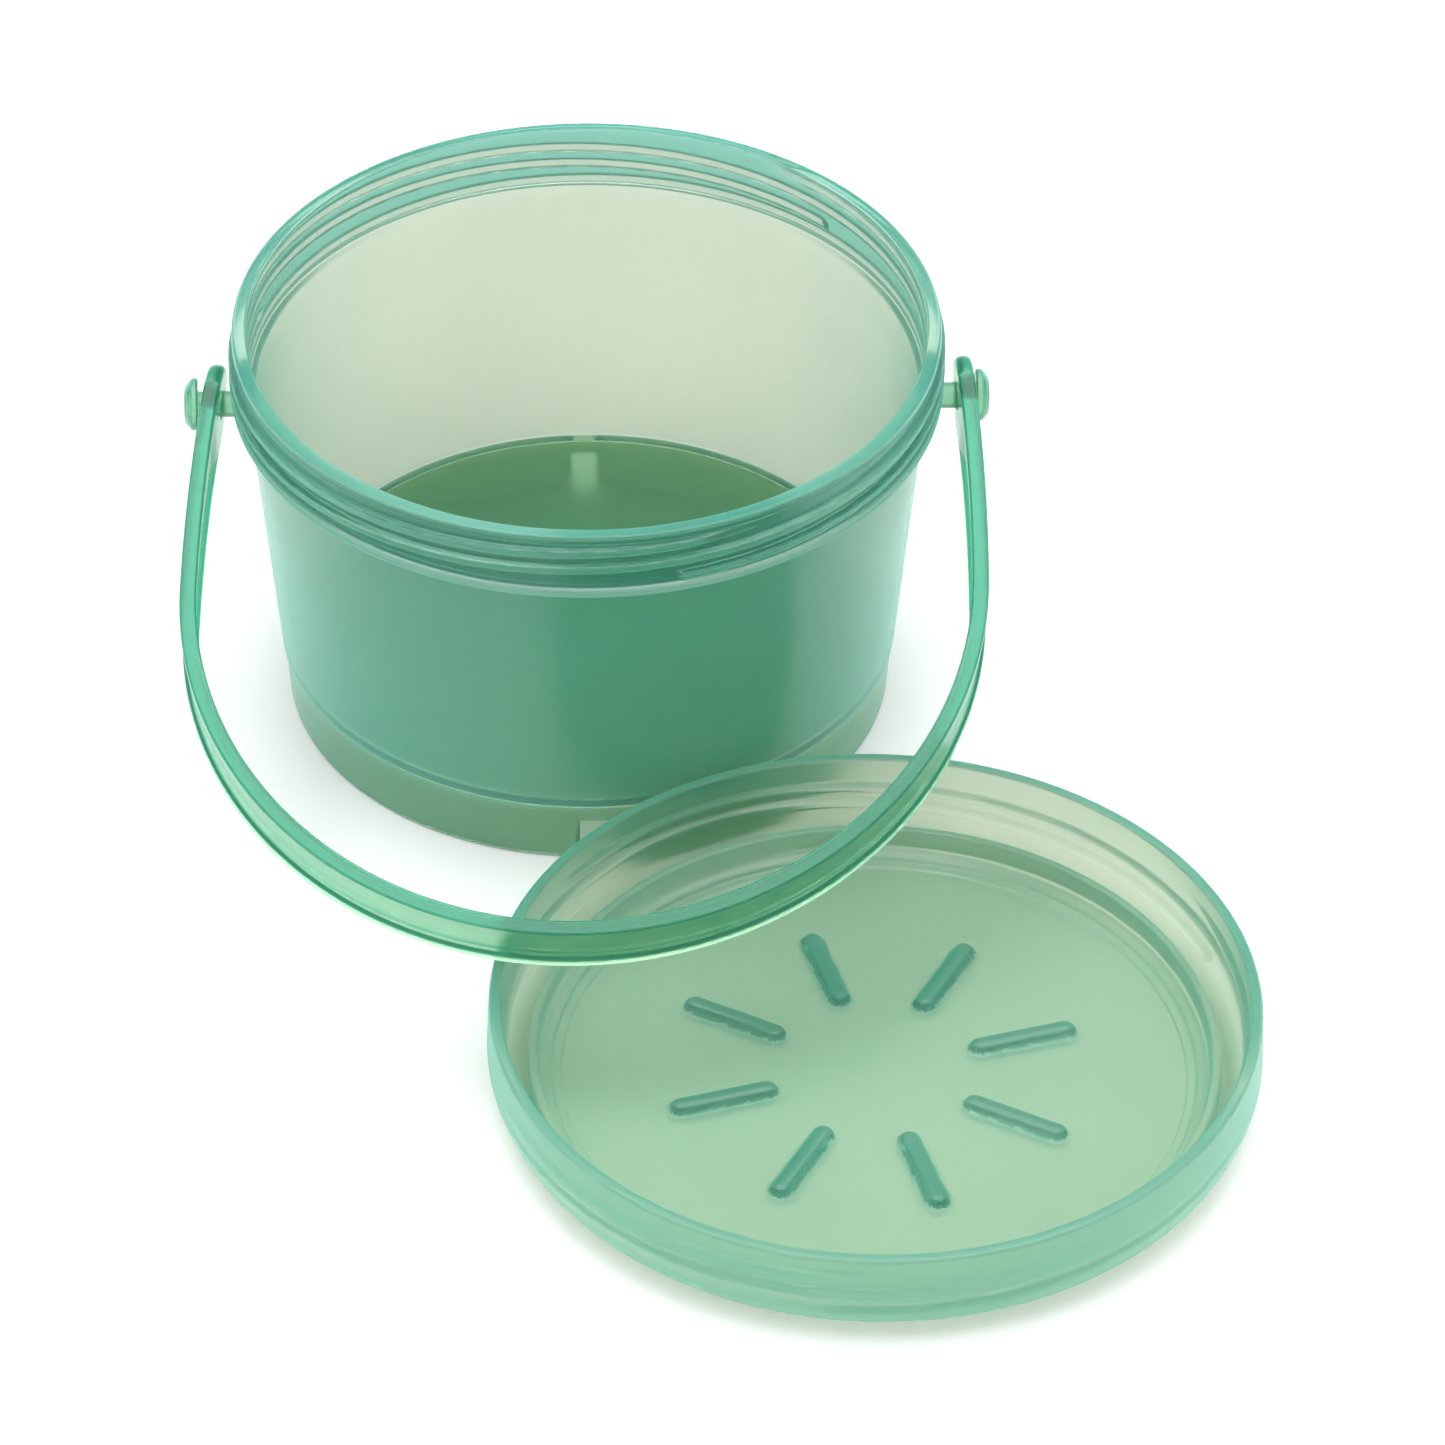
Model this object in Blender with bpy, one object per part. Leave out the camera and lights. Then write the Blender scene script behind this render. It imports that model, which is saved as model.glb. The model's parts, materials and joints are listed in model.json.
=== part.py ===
"""A round screw-top jar with a swinging bail handle, its lid lying open side up beside it.

Three mouldings in one translucent green plastic: the jar body (foot skirt, wall, threaded
collar and two headed pins), the bail handle that swings on the pins, and the screw lid.
The origin is at the middle of the part's footprint at floor level, +Z is up, the pins lie
along X and the lid lies on the -Y side.  Sizes are in millimetres and become metres in the
meshes.
"""

import math

import bmesh
import bpy
from mathutils import Matrix, Vector

MM = 0.001
RING_STEPS = 72

# Jar body
JAR_X = -18.3
JAR_Y = 51.55
JAR_HEIGHT = 68.5
RIM_RADIUS = 55.45
RIM_INNER_RADIUS = 53.2
COLLAR_RADIUS = 55.1
COLLAR_BOTTOM = 57.3
LIP_RADIUS = 55.9
WALL_TOP_RADIUS = 53.55
WALL_FOOT_RADIUS = 49.2
WALL_THICKNESS = 1.5
FOOT_HEIGHT = 10.0
FOOT_RADIUS = 48.3
FLOOR_TOP = 11.5
NOTCH_WIDTH = 4.3
NOTCH_HEIGHT = 7.6

# Screw thread, three starts on the jar and three in the lid
THREAD_LEAD = 9.0
THREAD_STARTS = 3
THREAD_TURN = 256.0
THREAD_FOOT_WIDTH = 1.9
THREAD_CREST_WIDTH = 1.1
THREAD_CREST_RADIUS = 56.1
THREAD_FIRST_Z = 60.4
THREAD_FIRST_ANGLE = -75.8

# Pins for the handle
PIN_HEIGHT = 53.5
PIN_RADIUS = 2.05
PIN_ROOT = 52.4
PIN_HEAD_START = 61.15
PIN_HEAD_END = 63.35
PIN_HEAD_RADIUS = 4.15

# Bail handle: outer line of the hoop in its own plane, measured from the pin axis
HOOP_HALF_WIDTH = 62.28
HOOP_SHOULDER = 38.28
HOOP_BOW_LENGTH = 61.96
HOOP_LEG_LENGTH = 154.3
HOOP_TILT = 19.14
BAND_THICKNESS = 2.6
BAND_WIDTH_EYE = 12.6
BAND_WIDTH_GRIP = 9.65
BAND_BEAD = 1.6
BAND_RECESS = 0.45
RECESS_START = 8.0
RECESS_RUN = 5.0
EYE_RADIUS = 6.4
EYE_THICKNESS = 2.9
EYE_HOLE_RADIUS = 2.4
HOOP_STATIONS = 76

# Screw lid, lying on its outer face
LID_X = 23.2
LID_Y = -49.25
LID_HEIGHT = 16.0
LID_RADIUS = 58.4
LID_CORNER = 8.0
LID_PANEL = 1.4
LID_BORE_RADIUS = 56.3
LID_THREAD_CREST = 55.4
LID_THREAD_FIRST_Z = 5.6
LID_THREAD_FIRST_ANGLE = 20.0
LID_THREAD_TURN = 250.0
RIB_COUNT = 8
RIB_START = 15.3
RIB_END = 32.2
RIB_WIDTH = 3.3
RIB_RISE = 1.25
RIB_FIRST_ANGLE = 15.5
GATE_RADIUS = 0.9
GATE_RISE = 0.35

JAR_COLOUR = (0.16, 0.52, 0.36)
HANDLE_COLOUR = (0.13, 0.55, 0.34)
LID_COLOUR = (0.20, 0.56, 0.38)


def clear_scene():
    for obj in list(bpy.data.objects):
        bpy.data.objects.remove(obj, do_unlink=True)


def plastic(name, colour):
    """Translucent green plastic for one moulding."""
    material = bpy.data.materials.new(name)
    material.use_nodes = True
    shader = material.node_tree.nodes["Principled BSDF"]
    shader.inputs["Base Color"].default_value = (*colour, 1.0)
    shader.inputs["Roughness"].default_value = 0.3
    shader.inputs["IOR"].default_value = 1.49
    shader.inputs["Transmission Weight"].default_value = 0.5
    return material


def add_object(name, shape, place, material=None):
    """Makes an object from a bmesh, faces turned outward; one with no material is a tool."""
    bmesh.ops.remove_doubles(shape, verts=shape.verts, dist=1e-7)
    bmesh.ops.recalc_face_normals(shape, faces=shape.faces)
    mesh = bpy.data.meshes.new(name)
    shape.to_mesh(mesh)
    shape.free()
    obj = bpy.data.objects.new(name, mesh)
    obj.location = Vector(place) * MM
    bpy.context.scene.collection.objects.link(obj)
    if material:
        mesh.materials.append(material)
    else:
        obj.hide_render = True
        obj.display_type = "WIRE"
        obj.hide_set(True)
    return obj


def shade(obj, angle=32.0):
    bpy.context.view_layer.objects.active = obj
    for polygon in obj.data.polygons:
        polygon.use_smooth = True
    obj.data.set_sharp_from_angle(angle=math.radians(angle))


def combine(target, tool, operation):
    modifier = target.modifiers.new(operation.title(), "BOOLEAN")
    modifier.object = tool
    modifier.operation = operation
    modifier.solver = "EXACT"


def spun(profile, steps=RING_STEPS, axis="Z"):
    """Turns a profile of (radius, along) points about an axis into a closed skin."""
    shape = bmesh.new()
    ring = []
    for radius, along in profile:
        place = (radius, 0.0, along) if axis == "Z" else (along, 0.0, radius)
        ring.append(shape.verts.new(Vector(place) * MM))
    edges = [shape.edges.new(pair) for pair in zip(ring, ring[1:])]
    bmesh.ops.spin(
        shape,
        geom=ring + edges,
        cent=(0.0, 0.0, 0.0),
        axis=(0.0, 0.0, 1.0) if axis == "Z" else (1.0, 0.0, 0.0),
        angle=math.tau,
        steps=steps,
        use_merge=True,
    )
    bmesh.ops.remove_doubles(shape, verts=shape.verts, dist=1e-7)
    return shape


def swept(sections, shape=None):
    """Joins a row of matching closed sections into one capped solid."""
    shape = shape or bmesh.new()
    rings = [[shape.verts.new(point) for point in section] for section in sections]
    count = len(rings[0])
    for near, far in zip(rings, rings[1:]):
        for i in range(count):
            j = (i + 1) % count
            shape.faces.new((near[i], near[j], far[j], far[i]))
    shape.faces.new(list(reversed(rings[0])))
    shape.faces.new(rings[-1])
    return shape


def thread_ridge(shape, first_angle, first_z, turn, root, crest, ends):
    """Adds one helical ridge from root radius out (or in) to crest radius."""
    sections = []
    steps = int(turn / 5)
    for i in range(steps + 1):
        share = i / steps
        angle = math.radians(first_angle + turn * share)
        middle = first_z + THREAD_LEAD * turn * share / 360
        fade = min(1.0, (1.0 - share) * turn / ends + 0.12)
        top = root + (crest - root) * fade
        outline = (
            (root, middle - THREAD_FOOT_WIDTH / 2),
            (top, middle - THREAD_CREST_WIDTH / 2),
            (top, middle + THREAD_CREST_WIDTH / 2),
            (root, middle + THREAD_FOOT_WIDTH / 2),
        )
        sections.append(
            [
                Vector((radius * math.cos(angle), radius * math.sin(angle), z)) * MM
                for radius, z in outline
            ]
        )
    swept(sections, shape)


def jar_profile():
    """Half section of the jar body, from the underside of its floor round to the top of it."""
    inner_wall_top = WALL_TOP_RADIUS - WALL_THICKNESS
    inner_wall_foot = WALL_FOOT_RADIUS - WALL_THICKNESS
    return [
        (0.0, FOOT_HEIGHT),
        (46.3, FOOT_HEIGHT),
        (46.9, FOOT_HEIGHT - 0.5),
        (46.8, 0.4),
        (47.15, 0.0),
        (48.0, 0.0),
        (FOOT_RADIUS, 0.35),
        (FOOT_RADIUS + 0.55, FOOT_HEIGHT - 0.35),
        (WALL_FOOT_RADIUS, FOOT_HEIGHT),
        (WALL_TOP_RADIUS, COLLAR_BOTTOM),
        (LIP_RADIUS - 0.35, COLLAR_BOTTOM),
        (LIP_RADIUS, COLLAR_BOTTOM + 0.35),
        (LIP_RADIUS, COLLAR_BOTTOM + 1.2),
        (LIP_RADIUS - 0.3, COLLAR_BOTTOM + 1.6),
        (COLLAR_RADIUS, COLLAR_BOTTOM + 2.1),
        (COLLAR_RADIUS, JAR_HEIGHT - 1.6),
        (RIM_RADIUS, JAR_HEIGHT - 1.2),
        (RIM_RADIUS, JAR_HEIGHT - 0.6),
        (RIM_RADIUS - 0.2, JAR_HEIGHT - 0.15),
        (RIM_RADIUS - 0.55, JAR_HEIGHT),
        (RIM_INNER_RADIUS + 0.35, JAR_HEIGHT),
        (RIM_INNER_RADIUS, JAR_HEIGHT - 0.35),
        (RIM_INNER_RADIUS - 0.2, COLLAR_BOTTOM + 1.2),
        (inner_wall_top, COLLAR_BOTTOM - 0.6),
        (inner_wall_foot + 0.25, FLOOR_TOP + 2.2),
        (inner_wall_foot - 0.35, FLOOR_TOP + 0.7),
        (inner_wall_foot - 1.6, FLOOR_TOP),
        (0.0, FLOOR_TOP),
    ]


def pins_shape():
    """Both headed pins as closed bars along X."""
    profile = [
        (0.0, PIN_ROOT),
        (PIN_RADIUS, PIN_ROOT),
        (PIN_RADIUS, PIN_HEAD_START),
        (PIN_HEAD_RADIUS - 0.25, PIN_HEAD_START),
        (PIN_HEAD_RADIUS, PIN_HEAD_START + 0.3),
        (PIN_HEAD_RADIUS, PIN_HEAD_START + 0.8),
        (PIN_HEAD_RADIUS - 0.5, PIN_HEAD_START + 1.5),
        (PIN_HEAD_RADIUS - 1.5, PIN_HEAD_END),
        (0.0, PIN_HEAD_END),
    ]
    both = bmesh.new()
    for side in (1.0, -1.0):
        pin = spun(profile, steps=28, axis="X")
        bmesh.ops.transform(
            pin,
            matrix=Matrix.Translation((0.0, 0.0, PIN_HEIGHT * MM))
            @ Matrix.Diagonal((side, 1.0, 1.0, 1.0)),
            verts=pin.verts,
        )
        bmesh.ops.recalc_face_normals(pin, faces=pin.faces)
        spare = bpy.data.meshes.new("pin")
        pin.to_mesh(spare)
        pin.free()
        both.from_mesh(spare)
        bpy.data.meshes.remove(spare)
    return both


def make_jar(material):
    place = (JAR_X, JAR_Y, 0.0)
    jar = add_object("jar_body", spun(jar_profile()), place, material)
    ridges = bmesh.new()
    for start in range(THREAD_STARTS):
        thread_ridge(
            ridges,
            THREAD_FIRST_ANGLE + 360 * start / THREAD_STARTS,
            THREAD_FIRST_Z,
            THREAD_TURN,
            COLLAR_RADIUS - 0.5,
            THREAD_CREST_RADIUS,
            14.0,
        )
    combine(jar, add_object("thread_tool", ridges, place), "UNION")
    combine(jar, add_object("pin_tool", pins_shape(), place), "UNION")
    notches = bmesh.new()
    for side in (1.0, -1.0):
        bmesh.ops.create_cube(
            notches,
            size=1.0,
            matrix=Matrix.Translation((0.0, side * 47.6 * MM, (NOTCH_HEIGHT - 2) / 2 * MM))
            @ Matrix.Diagonal((NOTCH_WIDTH * MM, 6 * MM, (NOTCH_HEIGHT + 2) * MM, 1.0)),
        )
    combine(jar, add_object("notch_tool", notches, place), "DIFFERENCE")
    shade(jar)
    return jar


def hoop_point(turn):
    """Outer line of the hoop at a turn angle: (across, along) from the pin axis."""
    length = HOOP_BOW_LENGTH if math.sin(turn) >= 0 else HOOP_LEG_LENGTH
    return Vector((HOOP_HALF_WIDTH * math.cos(turn), HOOP_SHOULDER + length * math.sin(turn)))


def hoop_frame(turn):
    """(outer point, inward direction) of the hoop at a turn angle, in the hoop's plane."""
    step = 0.001
    tangent = (hoop_point(turn + step) - hoop_point(turn - step)).normalized()
    return hoop_point(turn), Vector((-tangent.y, tangent.x))


def band_outline(along, turn):
    """Cross-section of the band as (across its width, inward) points: beads and a thin web."""
    bow = max(0.0, math.sin(turn))
    half = (BAND_WIDTH_EYE + (BAND_WIDTH_GRIP - BAND_WIDTH_EYE) * bow) / 2
    depth = BAND_RECESS * min(1.0, max(0.0, (along - RECESS_START) / RECESS_RUN))
    depth = max(depth, 0.02)
    inside = half - BAND_BEAD
    slope = inside - 0.5
    deep = BAND_THICKNESS
    round_off = 0.35
    return [
        (-half + round_off, 0.0),
        (-inside, 0.0),
        (-slope, depth),
        (slope, depth),
        (inside, 0.0),
        (half - round_off, 0.0),
        (half, round_off),
        (half, deep - round_off),
        (half - round_off, deep),
        (inside, deep),
        (slope, deep - depth),
        (-slope, deep - depth),
        (-inside, deep),
        (-half + round_off, deep),
        (-half, deep - round_off),
        (-half, round_off),
    ]


def hoop_axes():
    """Directions of the hoop's own axes: across, along from the pins, and out of its plane."""
    tilt = math.radians(HOOP_TILT)
    across = Vector((1.0, 0.0, 0.0))
    along = Vector((0.0, -math.cos(tilt), -math.sin(tilt)))
    out = Vector((0.0, -math.sin(tilt), math.cos(tilt)))
    return across, along, out


def make_handle(material):
    across, along, out = hoop_axes()
    lift = math.asin(HOOP_SHOULDER / HOOP_LEG_LENGTH)
    sections = []
    for i in range(HOOP_STATIONS + 1):
        turn = -lift + (math.pi + 2 * lift) * i / HOOP_STATIONS
        point, inward = hoop_frame(turn)
        section = []
        for width, depth in band_outline(point.y, turn):
            flat = point + inward * depth
            section.append((across * flat.x + along * flat.y + out * width) * MM)
        sections.append(section)
    pivot = (JAR_X, JAR_Y, PIN_HEIGHT)
    handle = add_object("bail_handle", swept(sections), pivot, material)

    eyes = bmesh.new()
    holes = bmesh.new()
    for turn in (-lift, math.pi + lift):
        point, inward = hoop_frame(turn)
        middle = point + inward * (BAND_THICKNESS / 2)
        normal = across * inward.x + along * inward.y
        turned = normal.to_track_quat("Z", "X").to_matrix().to_4x4()
        moved = Matrix.Translation((across * middle.x + along * middle.y) * MM)
        bmesh.ops.create_cone(
            eyes,
            cap_ends=True,
            segments=48,
            radius1=EYE_RADIUS * MM,
            radius2=EYE_RADIUS * MM,
            depth=EYE_THICKNESS * MM,
            matrix=moved @ turned,
        )
        bmesh.ops.create_cone(
            holes,
            cap_ends=True,
            segments=32,
            radius1=EYE_HOLE_RADIUS * MM,
            radius2=EYE_HOLE_RADIUS * MM,
            depth=12 * MM,
            matrix=Matrix.Translation((point.x * MM, 0.0, 0.0))
            @ Matrix.Rotation(math.pi / 2, 4, "Y"),
        )
    combine(handle, add_object("eye_tool", eyes, pivot), "UNION")
    combine(handle, add_object("hole_tool", holes, pivot), "DIFFERENCE")
    shade(handle)
    return handle


def lid_profile():
    """Half section of the lid as it lies: outer face down, skirt and sealing ring up."""
    corner = LID_RADIUS - LID_CORNER
    outer = []
    for i in range(9):
        bend = math.pi / 2 * i / 8
        outer.append((corner + LID_CORNER * math.sin(bend), LID_CORNER * (1 - math.cos(bend))))
    return (
        [(0.0, 0.0)]
        + outer
        + [
            (58.05, LID_HEIGHT - 0.9),
            (57.9, LID_HEIGHT - 0.35),
            (57.5, LID_HEIGHT),
            (LID_BORE_RADIUS + 0.1, LID_HEIGHT),
            (LID_BORE_RADIUS - 0.15, LID_HEIGHT - 0.3),
            (LID_BORE_RADIUS, 8.6),
            (56.0, 6.2),
            (55.2, 4.2),
            (54.2, 2.8),
            (53.4, 2.15),
            (52.8, 2.0),
            (52.4, 2.4),
            (52.25, 3.0),
            (52.2, 5.8),
            (51.9, 6.3),
            (51.1, 6.3),
            (50.8, 5.9),
            (50.4, 3.4),
            (49.8, 2.5),
            (48.9, 1.75),
            (48.0, LID_PANEL),
            (0.0, LID_PANEL),
        ]
    )


def add_rib(shape, angle):
    """Adds one raised rib with round ends, its foot sunk a little into the panel."""
    half = RIB_WIDTH / 2
    outline = []
    for end, sweep in ((RIB_END - half, -90), (RIB_START + half, 90)):
        for i in range(9):
            bend = math.radians(sweep + 22.5 * i)
            outline.append((end, math.cos(bend), math.sin(bend)))
    levels = (
        (-0.4, 1.0),
        (0.15, 1.0),
        (0.75, 0.86),
        (1.08, 0.6),
        (RIB_RISE, 0.3),
    )
    turned = Matrix.Rotation(math.radians(angle), 3, "Z")
    sections = []
    for rise, share in levels:
        sections.append(
            [
                turned @ Vector((end + half * share * c, half * share * s, LID_PANEL + rise)) * MM
                for end, c, s in outline
            ]
        )
    swept(sections, shape)


def make_lid(material):
    place = (LID_X, LID_Y, 0.0)
    lid = add_object("screw_lid", spun(lid_profile()), place, material)
    additions = bmesh.new()
    for start in range(THREAD_STARTS):
        thread_ridge(
            additions,
            LID_THREAD_FIRST_ANGLE + 360 * start / THREAD_STARTS,
            LID_THREAD_FIRST_Z,
            LID_THREAD_TURN,
            LID_BORE_RADIUS + 0.6,
            LID_THREAD_CREST,
            14.0,
        )
    for index in range(RIB_COUNT):
        add_rib(additions, RIB_FIRST_ANGLE + 360 * index / RIB_COUNT)
    bmesh.ops.create_cone(
        additions,
        cap_ends=True,
        segments=16,
        radius1=GATE_RADIUS * MM,
        radius2=GATE_RADIUS * 0.7 * MM,
        depth=(GATE_RISE + 0.4) * MM,
        matrix=Matrix.Translation((0.0, 0.0, (LID_PANEL + (GATE_RISE - 0.4) / 2) * MM)),
    )
    combine(lid, add_object("lid_tool", additions, place), "UNION")
    shade(lid)
    return lid


def main():
    clear_scene()
    bpy.context.scene.unit_settings.system = "METRIC"
    make_jar(plastic("jar_plastic", JAR_COLOUR))
    make_handle(plastic("handle_plastic", HANDLE_COLOUR))
    make_lid(plastic("lid_plastic", LID_COLOUR))


main()
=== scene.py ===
"""Dresses the screw-top jar, its bail handle and its lid in translucent green plastic.

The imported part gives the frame: where the jar stands, where the handle turns and where the
lid lies.  Each moulding is remade here with fine threads, beads, ribs and rounded edges.
"""

import json
import math

import bmesh
import bpy
from bpy.props import (
    FloatProperty,
    FloatVectorProperty,
    IntProperty,
    PointerProperty,
)
from mathutils import Matrix, Vector


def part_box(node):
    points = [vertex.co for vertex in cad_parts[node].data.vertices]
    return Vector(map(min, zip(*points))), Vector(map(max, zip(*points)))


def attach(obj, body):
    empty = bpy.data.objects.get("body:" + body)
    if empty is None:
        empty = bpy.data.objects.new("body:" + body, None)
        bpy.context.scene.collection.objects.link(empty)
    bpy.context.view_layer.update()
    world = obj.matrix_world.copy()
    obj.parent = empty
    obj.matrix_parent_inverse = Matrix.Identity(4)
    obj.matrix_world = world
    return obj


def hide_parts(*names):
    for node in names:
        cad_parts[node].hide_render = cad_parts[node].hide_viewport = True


bl_info = {
    "name": "Screw-Top Jar with Bail Handle",
    "version": (1, 0, 0),
    "blender": (4, 5, 0),
    "location": "View3D > Sidebar > Jar",
    "description": "Builds a translucent jar, its swinging handle and its lid",
    "category": "Object",
}

MM = 0.001

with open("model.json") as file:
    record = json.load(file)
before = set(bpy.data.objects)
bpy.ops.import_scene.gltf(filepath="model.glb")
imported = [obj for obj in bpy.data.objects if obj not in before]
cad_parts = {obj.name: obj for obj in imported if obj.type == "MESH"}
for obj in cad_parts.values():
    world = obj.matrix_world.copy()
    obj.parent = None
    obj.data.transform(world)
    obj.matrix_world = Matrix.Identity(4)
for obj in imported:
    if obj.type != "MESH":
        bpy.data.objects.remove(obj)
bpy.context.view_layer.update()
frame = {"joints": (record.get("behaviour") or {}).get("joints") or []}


def middle_of(node):
    """Centre of a node's box, with its lowest height."""
    low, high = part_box(node)
    return Vector(((low.x + high.x) / 2, (low.y + high.y) / 2, low.z))


def pivot_of(joint_name):
    """Point on a hinge's axis."""
    joint = next(j for j in frame["joints"] if j["name"] == joint_name)
    return Vector(joint["pos_m"])


LID_CENTRE = middle_of("screw_lid")
PIVOT = pivot_of("handle_swing")
JAR_CENTRE = Vector((PIVOT.x, PIVOT.y, 0.0))


# ------------------------------------------------------------------ settings


def millimetres(name, description, default, low=0.0, high=500.0):
    """A length that the sidebar shows, kept in millimetres."""
    return FloatProperty(
        name=name, description=description, default=default, min=low, max=high, precision=2
    )


def colour(name, description, default):
    """A colour that the sidebar shows, as linear red, green and blue."""
    return FloatVectorProperty(
        name=name,
        description=description,
        default=default,
        size=3,
        min=0.0,
        max=1.0,
        subtype="COLOR",
    )


def share(name, description, default):
    """A number from 0 to 1 that the sidebar shows as a slider."""
    return FloatProperty(
        name=name, description=description, default=default, min=0.0, max=1.0, subtype="FACTOR"
    )


class JarSettings(bpy.types.PropertyGroup):
    height: millimetres("Height", "Table to rim, in mm", 68.5)
    rim_radius: millimetres("Rim radius", "Outside of the rim, in mm", 55.45)
    wall: millimetres("Wall", "Wall thickness, in mm", 1.5)
    thread_rise: millimetres("Thread rise", "How far a ridge stands out, in mm", 0.95)
    thread_lead: millimetres("Thread lead", "Climb of a ridge in one turn, in mm", 9.0)
    steps: IntProperty(
        name="Steps", description="Faces round the jar", default=480, min=120, max=720
    )
    tint: colour("Tint", "Colour of light that passes through one wall", (0.60, 0.60, 0.49))
    foot_tint: colour("Foot tint", "The same for the foot skirt", (0.44, 0.52, 0.34))
    # Painted shade: a darker tint between the thread's ridges.
    groove_shade_tint: colour("Groove shade tint", "The same between the thread's ridges", (0.36, 0.52, 0.40))
    # Painted shade: a darker tint for the floor, over the shadowed hollow under it.
    floor_shade_tint: colour("Floor shade tint", "The same for the floor", (0.27, 0.46, 0.24))
    pin_tint: colour("Pin tint", "The same for the solid pins", (0.22, 0.46, 0.28))
    veil: colour("Veil", "Colour of the milky veil in the plastic", (0.11, 0.76, 0.60))
    veil_outside: share("Veil outside", "Strength of the veil on the outer skin", 0.52)
    veil_inside: share("Veil inside", "Strength of the veil on the inner skin", 0.36)
    haze: share("Haze", "Roughness of the skins", 0.22)


class HandleSettings(bpy.types.PropertyGroup):
    lean: FloatProperty(
        name="Lean",
        description="Sideways lean of the hoop, as a share of the distance from its pins",
        default=-0.036,
        min=-0.05,
        max=0.05,
    )
    play: millimetres("Play", "Sideways shift of the hoop on its pins, in mm", 0.4, -0.8, 0.8)
    recess: millimetres("Recess", "Depth of the web between the beads, in mm", 0.55)
    stations: IntProperty(
        name="Stations", description="Sections along the hoop", default=300, min=60, max=600
    )
    tint: colour("Tint", "Colour of light that passes through the band", (0.40, 0.64, 0.40))
    edge_tint: colour("Edge tint", "The same along the band's edges", (0.04, 0.36, 0.21))
    veil: colour("Veil", "Colour of the milky veil in the plastic", (0.07, 0.70, 0.48))
    veil_outside: share("Veil outside", "Strength of the veil on the band's edges", 0.34)
    veil_inside: share("Veil inside", "Strength of the veil on the band's faces", 0.36)
    haze: share("Haze", "Roughness of the skins", 0.22)


class LidSettings(bpy.types.PropertyGroup):
    height: millimetres("Height", "Height of the lid as it lies, in mm", 16.0)
    rib_rise: millimetres("Rib rise", "How far the ribs stand up, in mm", 1.35)
    ribs: IntProperty(name="Ribs", description="Ribs on the panel", default=8, min=0, max=16)
    steps: IntProperty(
        name="Steps", description="Faces round the lid", default=464, min=120, max=720
    )
    rib_tint: colour("Rib tint", "The same for the solid ribs", (0.34, 0.50, 0.36))
    tint: colour("Tint", "Colour of light that passes through the panel", (0.755, 0.755, 0.595))
    veil: colour("Veil", "Colour of the milky veil in the plastic", (0.11, 0.76, 0.60))
    veil_outside: share("Veil outside", "Strength of the veil on the outer skin", 0.46)
    veil_inside: share("Veil inside", "Strength of the veil on the inner skin", 0.34)
    haze: share("Haze", "Roughness of the skins", 0.32)


class StudioSettings(bpy.types.PropertyGroup):
    floor: colour("Floor", "Colour of the floor", (0.93, 0.93, 0.93))
    sky: FloatProperty(
        name="Sky", description="Strength of the soft light all round", default=0.7, min=0.0
    )
    key: FloatProperty(
        name="Key", description="Power of the large light overhead, in W", default=22.0, min=0.0
    )


# ------------------------------------------------------------------ meshes

ARC_STEPS = 4
ARC_REACH = 0.45  # most of a side that a fillet may use up
LONGEST_STRETCH = 4.0
SCREW_MERGE = 1e-6
MERGE = 1e-7
THREAD_STARTS = 3
RIDGE_HALF = 0.48  # half the width of a ridge's top, in mm
RIDGE_FLANK = 0.42
RUN_IN = 1.2  # degrees
RUN_OUT = 16.0


def rounded(points):
    """Turns (radius, height, fillet) corners into a line of points with an arc at each fillet."""
    line = []
    for i, (radius, height, fillet) in enumerate(points):
        here = Vector((radius, height))
        if not fillet or i in (0, len(points) - 1):
            line.append(here)
            continue
        back = Vector(points[i - 1][:2]) - here
        on = Vector(points[i + 1][:2]) - here
        reach = min(fillet, back.length * ARC_REACH, on.length * ARC_REACH)
        start = here + back.normalized() * reach
        end = here + on.normalized() * reach
        for step in range(ARC_STEPS + 1):
            t = step / ARC_STEPS
            line.append(start * (1 - t) ** 2 + here * 2 * t * (1 - t) + end * t**2)
    return line


def divided(line, longest):
    """Adds points so that no stretch between two of them is longer than this."""
    out = [line[0]]
    for a, b in zip(line, line[1:]):
        count = max(1, math.ceil((b - a).length / longest))
        out += [a.lerp(b, k / count) for k in range(1, count + 1)]
    return out


def stretch(line, low, high, test, fine):
    """Divides finely the part of the line between two heights that passes a test."""
    out = [line[0]]
    for a, b in zip(line, line[1:]):
        inside = low <= (a.y + b.y) / 2 <= high and test((a.x + b.x) / 2)
        out += divided([a, b], fine if inside else LONGEST_STRETCH)[1:]
    return out


def turned(line, steps):
    """Turns a line of (radius, height) about Z into a closed skin, with a Screw modifier."""
    wire = bmesh.new()
    points = [wire.verts.new((p.x * MM, 0.0, p.y * MM)) for p in line]
    for pair in zip(points, points[1:]):
        wire.edges.new(pair)
    mesh = bpy.data.meshes.new("line")
    wire.to_mesh(mesh)
    wire.free()
    obj = bpy.data.objects.new("line", mesh)
    bpy.context.scene.collection.objects.link(obj)
    screw = obj.modifiers.new("Turn", "SCREW")
    screw.steps = steps
    screw.render_steps = steps
    screw.use_merge_vertices = True
    screw.merge_threshold = SCREW_MERGE
    shape = bmesh.new()
    shape.from_object(obj, bpy.context.evaluated_depsgraph_get())
    bpy.data.objects.remove(obj)
    bpy.data.meshes.remove(mesh)
    bmesh.ops.remove_doubles(shape, verts=shape.verts, dist=MERGE)
    bmesh.ops.recalc_face_normals(shape, faces=shape.faces)
    return shape


def eased(value):
    """Smooth step from 0 to 1."""
    value = min(1.0, max(0.0, value))
    return value * value * (3 - 2 * value)


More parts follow.
